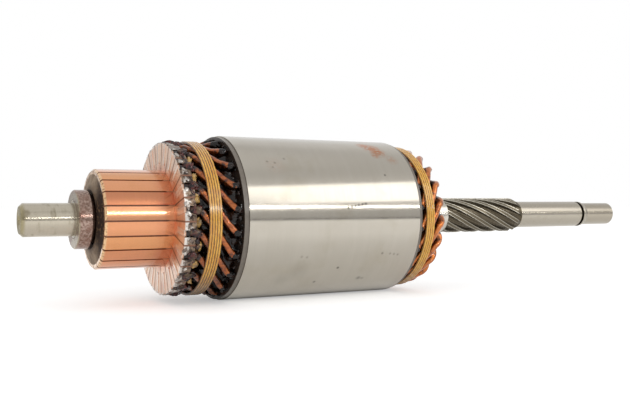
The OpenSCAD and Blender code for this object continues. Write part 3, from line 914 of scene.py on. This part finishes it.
def make_lumps(name, lumps, material):
    """Joins uneven balls into one piece.

    Each ball is a station, an angle, a radius, its half sizes along, round and outwards, and a turn.
    """
    unevenness = 0.55
    points = []
    faces = []
    for number, (x, angle, r, half_x, half_arc, half_r, turn) in enumerate(lumps):
        a = math.radians(angle)
        t = math.radians(turn)
        outward = Vector((0, math.cos(a), math.sin(a)))
        round_shaft = Vector((0, -math.sin(a), math.cos(a)))
        along = Vector((1, 0, 0))
        first_axis = along * math.cos(t) + round_shaft * math.sin(t)
        second_axis = round_shaft * math.cos(t) - along * math.sin(t)
        axes = (first_axis * half_x, second_axis * half_arc, outward * half_r)
        ball_points, ball_faces = lump(polar(x, angle, r), axes, unevenness, number * 3.7)
        faces.extend(tuple(len(points) + k for k in face) for face in ball_faces)
        points.extend(ball_points)
    make_piece(name, points, faces, material)


def draw(chance, *ranges):
    """A random number from each range, in their order."""
    return tuple(chance.uniform(*limits) for limits in ranges)


def make_solder(material):
    """Drops and smears of solder on the rims of the risers, most of them near the front edge."""
    chance = random.Random(5)
    lumps = []
    for i in BARS:
        for _ in range(6):
            side = chance.choice((-1, 1))
            x = riser_x + 1.2 + 2.4 * chance.random() ** 2
            off, *rest = draw(
                chance,
                (2.0, 7.0),
                (RISER_R - 0.35, RISER_R - 0.1),
                (0.5, 0.9), (0.7, 1.9), (0.35, 0.6), (-50, 50))
            lumps.append((x, bar_angle(i) + side * off, *rest))
    make_lumps("riser_solder", lumps, material)


def make_wire_ends(material):
    """Scorched knobs on the conductors, where they are soldered into the risers, and crumbs beside them."""
    chance = random.Random(8)
    lumps = []
    for i in BARS:
        bar = bar_angle(i)
        x, angle = draw(chance, (riser_back_x - 0.9, riser_back_x + 0.4), (bar - 0.9, bar + 0.9))
        sizes = draw(chance, (2.1, 2.9), (1.7, 2.3), (1.1, 1.6), (-25, 25))
        lumps.append((x, angle, RISER_R - 0.35, *sizes))
        for _ in range(5):
            lumps.append(draw(
                chance,
                (riser_back_x - 2.6, riser_back_x + 1.8),
                (bar - 7.5, bar + 7.5),
                (RISER_R - 0.2, RISER_R - 1.0),
                (0.6, 1.7), (0.7, 1.8), (0.5, 1.1), (-60, 60)))
    make_lumps("scorched_wire_ends", lumps, material)


def make_varnish_drips(material):
    """Black drips of varnish at the mouths of the slots."""
    chance = random.Random(13)
    wire_top = slot_upper_r + WIRE_H / 2
    lumps = []
    for i in BARS:
        mouth = upper_wire_angle(i, front_disc_x)
        for _ in range(4):
            lumps.append(draw(
                chance,
                (front_disc_x - 0.1, front_disc_x - 2.2),
                (mouth - 7, mouth + 7),
                (wire_top + 0.2, wire_top - 2.6),
                (0.4, 1.1), (0.5, 1.4), (0.4, 0.9), (-60, 60)))
    make_lumps("varnish_drips", lumps, material)


def make_paper_packing(material):
    """Resin-soaked paper between the conductors, right behind the risers."""
    chance = random.Random(21)
    lumps = []
    for i in BARS:
        for _ in range(chance.choice((2, 2, 3, 3))):
            x = riser_back_x + chance.uniform(0.6, 2.6)
            middle = upper_wire_angle(i, x) + PITCH / 2
            rest = draw(
                chance,
                (middle - 2.8, middle + 2.8),
                (34.8, 36.6),
                (0.9, 1.8), (1.1, 2.3), (1.0, 1.9), (-30, 30))
            lumps.append((x, *rest))
    make_lumps("paper_packing", lumps, material)


def gap_to_wire(x, angle, r):
    """Distance round the shaft to the nearest conductor's side in the upper layer, in millimetres."""
    off = (angle - upper_wire_angle(1, x)) % PITCH
    off = min(off, PITCH - off)
    return math.radians(off) * r - WIRE_W / 2


def make_varnish(name, x0, x1, steps, pool, material):
    """Varnish pooled between the two layers. It creeps up the sides of the conductors.

    The pool is its radius, how much higher it gets, and the station and length over which it does so.
    """
    start_r, rise, rise_x, rise_len = pool
    around = BAR_COUNT * 12
    points = []
    for x in spread(x0, x1, steps):
        r = start_r + rise * smooth((x - rise_x) / rise_len)
        for q in range(around):
            angle = 360 * q / around
            gap = gap_to_wire(x, angle, r)
            creep = 1.4 * math.exp(-max(gap, 0.0) ** 2 / 0.9)
            bumps = 0.7 * rough(x, angle, r, 2.6, 1.0) + 0.35 * rough(x, angle, r, 1.1, 5.0)
            points.append(polar(x, angle, r + creep + bumps))
    faces = skin(steps + 1, around, 0, caps=False)
    make_piece(name, points, faces, material)


def make_cuffs(name, x_disc, x_end, wall, material):
    """Varnish-filled cuffs of the slot liners: an uneven black sleeve round each conductor."""
    steps = 9
    section = rounded_section(1.0, 1.0, 0.45, 5)
    count = len(section)
    points = []
    faces = []
    for i in BARS:
        first = len(points)
        own_end = x_end + (x_end - x_disc) * 0.3 * rough(x_end, slot_angle(i), slot_upper_r, 1.0, 2.0)
        route = [(x, half_span(x), upper_radius(x), 0) for x in spread(x_disc, own_end, steps)]
        if x_end < x_disc:
            route.reverse()
        centres = sweep(route, slot_angle(i) - slot_half, [(0.0, 0.0)])
        corners = sweep(route, slot_angle(i) - slot_half, section)
        for k, (x, _, _, _) in enumerate(route):
            centre = centres[k]
            outward = Vector((0, centre.y, centre.z)).normalized()
            along = abs(x - x_disc) / abs(own_end - x_disc)
            sleeve = wall * (1.1 - 0.25 * along) * smooth((1.02 - along) / 0.25) - 0.12
            for corner in corners[k * count:(k + 1) * count]:
                lumpy = 0.35 * noise.noise(corner / MM * 0.55 + Vector((i, 0, 0)))
                width = WIRE_W + 2 * (sleeve + lumpy)
                height = WIRE_H + 2 * (sleeve + lumpy)
                offset = corner - centre
                up = outward * offset.dot(outward)
                points.append(centre + (offset - up) * width + up * height)
        faces.extend(skin(steps + 1, count, first))
    make_piece(name, points, faces, material)


def dress_solids(materials):
    """Gives each solid that stays in view its material."""
    for name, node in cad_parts.items():
        if name.startswith("commutator_bar_"):
            material = materials["commutator_bar"][BAR_TONE_OF[int(name.split("_")[-1]) - 1]]
        else:
            material = materials.get(name)
        if material:
            node.data.materials.clear()
            node.data.materials.append(material)


# ---------- Stage ----------

def make_camera():
    data = bpy.data.cameras.new("camera")
    data.sensor_width = 36
    data.lens = 46.475
    camera = bpy.data.objects.new("camera", data)
    camera.location = (-0.0849, -0.39408, 0.00956)
    look = Vector((0.4807, 0.8768, -0.0129))
    camera.rotation_mode = "QUATERNION"
    camera.rotation_quaternion = look.to_track_quat("-Z", "Y")
    bpy.context.scene.collection.objects.link(camera)
    bpy.context.scene.camera = camera


def make_lamp(name, place, target, size, brightness):
    """A soft box of the given width and height in metres; brightness 1 is the white of the background."""
    data = bpy.data.lights.new(name, "AREA")
    data.shape = "RECTANGLE"
    data.size, data.size_y = size
    data.energy = brightness * math.pi * size[0] * size[1]
    lamp = bpy.data.objects.new(name, data)
    lamp.location = place
    aim = Vector(target) - Vector(place)
    lamp.rotation_mode = "QUATERNION"
    lamp.rotation_quaternion = aim.to_track_quat("-Z", "Y")
    bpy.context.scene.collection.objects.link(lamp)


def seen_by_camera(tree):
    """1 for what the camera sees itself or through glass."""
    path = add(tree, "LightPath").node.outputs
    return add(tree, "Math", path["Is Camera Ray"], path["Is Transmission Ray"], operation="MAXIMUM")


def make_world():
    """White for the camera and plain light on the object.

    In metal the world is paler overhead, with a dim strip above the soft box.
    """
    plain_light = (0.74, 0.74, 0.74, 1.0)
    world = bpy.data.worlds.new("studio")
    bpy.context.scene.world = world
    world.use_nodes = True
    tree = world.node_tree
    shader = tree.nodes["Background"].inputs
    shader["Color"].default_value = (1, 1, 1, 1)
    _, _, height = add(tree, "SeparateXYZ", add(tree, "TexCoord", out="Generated")).node.outputs
    mirrored = add(tree, "MapRange", height, 0.15, 0.3, 0.76, 0.98, **SMOOTH)
    above_box = between(tree, height, 0.79, 0.84, 0.07)
    mirrored = add(tree, "Math", above_box, -0.11, mirrored, operation="MULTIPLY_ADD")
    is_glossy = add(tree, "LightPath", out="Is Glossy Ray")
    unseen = add(tree, "MixRGB", is_glossy, plain_light, mirrored)
    add(tree, "MixRGB", seen_by_camera(tree), unseen, "#FFFFFF", to=shader["Strength"])


def white_paper_floor():
    """Matt white paper. In metal it shows a painted glow, with a painted shadow of the stack,
    and a painted dark strip far off.
    """
    dark_strip_start = 0.7
    material = bpy.data.materials.new("white_paper_floor")
    material.use_nodes = True
    tree = material.node_tree
    shader = tree.nodes["Principled BSDF"].inputs
    shader["Roughness"].default_value = 0.9
    shader["Specular IOR Level"].default_value = 0.0
    shader["Emission Color"].default_value = (1, 1, 1, 1)

    # Distance from the middle line of the stack's painted shadow, which ends a little past the stack itself
    along, across, _ = add(tree, "SeparateXYZ", add(tree, "TexCoord", out="Object")).node.outputs
    aside = add(tree, "Math", across, operation="ABSOLUTE")
    stack_middle = (core_x + core_end_x) / 2 * MM
    shade_end = (core_end_x - core_x) / 2 * MM + STACK_SHADE
    past_middle = add(tree, "Math", along, stack_middle, operation="SUBTRACT")
    past_middle = add(tree, "Math", past_middle, operation="ABSOLUTE")
    past_end = add(tree, "MapRange", past_middle, shade_end, shade_end + PAST_STACK, 0.0, PAST_STACK)
    gap = add(tree, "CombineXYZ", past_end, aside, 0.0)
    gap = add(tree, "VectorMath", gap, operation="LENGTH", out="Value")

    # Painted glow, seen in metal, dimmer where it paints the stack's shadow
    glow = add(tree, "ValToRGB", gap)
    stops = glow.node.color_ramp.elements
    for position, strength in FLOOR_PAINTED_GLOW:
        stops.new(position).color = (strength, strength, strength, 1)
    stops.remove(stops[0])
    stops.remove(stops[len(stops) - 1])
    is_glossy = add(tree, "LightPath", out="Is Glossy Ray")
    mirrored = add(tree, "Math", is_glossy, glow, operation="MULTIPLY")
    # Painted dark strip in metal, far off: the floor turns grey there for glossy rays only
    far = add(tree, "MapRange", aside, dark_strip_start, dark_strip_start + 0.15, **SMOOTH)
    painted_dark_strip = add(tree, "Math", is_glossy, far, operation="MULTIPLY")
    add(tree, "MixRGB", painted_dark_strip, "#F4F4F4", "#868686", to=shader["Base Color"])
    # Even white for the camera, plus the painted glow and painted stack shadow for glossy rays
    add(tree, "Math", seen_by_camera(tree), 0.4, mirrored, operation="MULTIPLY_ADD",
        to=shader["Emission Strength"])
    return material


def make_floor():
    """The floor under the armature, which touches it."""
    half = 4.0
    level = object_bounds()[0].z
    mesh = bpy.data.meshes.new("studio_floor")
    corners = [(-half, -half, level), (half, -half, level), (half, half, level), (-half, half, level)]
    mesh.from_pydata(corners, [], [(0, 1, 2, 3)])
    mesh.materials.append(white_paper_floor())
    floor = bpy.data.objects.new("studio_floor", mesh)
    bpy.context.scene.collection.objects.link(floor)


bpy.context.scene.view_settings.view_transform = "Standard"
black_varnish = baking_varnish("black_baking_varnish", "#080403", "#2A180F")
layer_varnish = baking_varnish("brown_baking_varnish", "#1A100B", "#3A2216")
disc_fibre = varnished_fibre("varnished_fibre")
sleeve_paper = baking_varnish("varnished_paper_sleeve", "#2A201A", "#4A3A2C")
dress_solids({
    "shaft": ground_shaft_steel(),
    "commutator_hub": rusty_hub_steel(),
    "commutator_moulding": phenolic_moulding(),
    "mica_separators": flush_mica(),
    "commutator_bar": [turned_copper(tone) for tone in range(len(BAR_TONES))],
    "armature_core": ground_lamination_steel(),
    "front_end_disc": disc_fibre,
    "rear_end_disc": disc_fibre,
    "slot_liners": black_varnish,
    "front_layer_insulation": layer_varnish,
    "rear_layer_insulation": layer_varnish,
    "front_shaft_sleeve": sleeve_paper,
    "rear_shaft_sleeve": sleeve_paper,
})
make_coils(varnished_copper_wire())
make_band("front_cord_band", "front_band", 5, resin_soaked_cord(
    "resin_soaked_cord", "#E4AC38", "#D08E1C", "#6A410E", 0.6))
make_band("rear_cord_band", "rear_band", 4, resin_soaked_cord(
    "resin_dry_cord", "#E6B036", "#DA9C22", "#AA7418", 0.3))
make_slot_solder(bpy.data.materials["turned_copper_1"])
make_solder(tinned_solder())
make_wire_ends(scorched_wire_end())
make_paper_packing(resin_paper())
make_varnish(
    "front_varnish", riser_back_x + 0.1, front_disc_x, 22, (33.0, 2.6, 64.0, 5.0), black_varnish)
make_varnish(
    "rear_varnish", rear_disc_end_x, nose_x - 2.0, 14, (34.2, -0.6, 176.0, 6.0), layer_varnish)
make_varnish_drips(black_varnish)
make_cuffs("front_cuffs", front_disc_x + 0.2, 67.0, 0.45, black_varnish)
make_cuffs("rear_cuffs", rear_disc_end_x - 0.2, 176.2, 0.4, black_varnish)

make_floor()
make_world()
make_camera()
make_lamp("soft_box", (0.80, -0.74, 0.575), (0.12, 0.0, 0.0), (0.75, 0.45), 2.0)
make_lamp("tube", (0.50, -1.04, 0.28), (0.50, 0.0, 0.0), (1.6, 0.012), 22.0)
make_lamp("flash", (0.42, -1.04, 0.275), (0.05, 0.0, 0.0), (0.08, 0.012), 240.0)
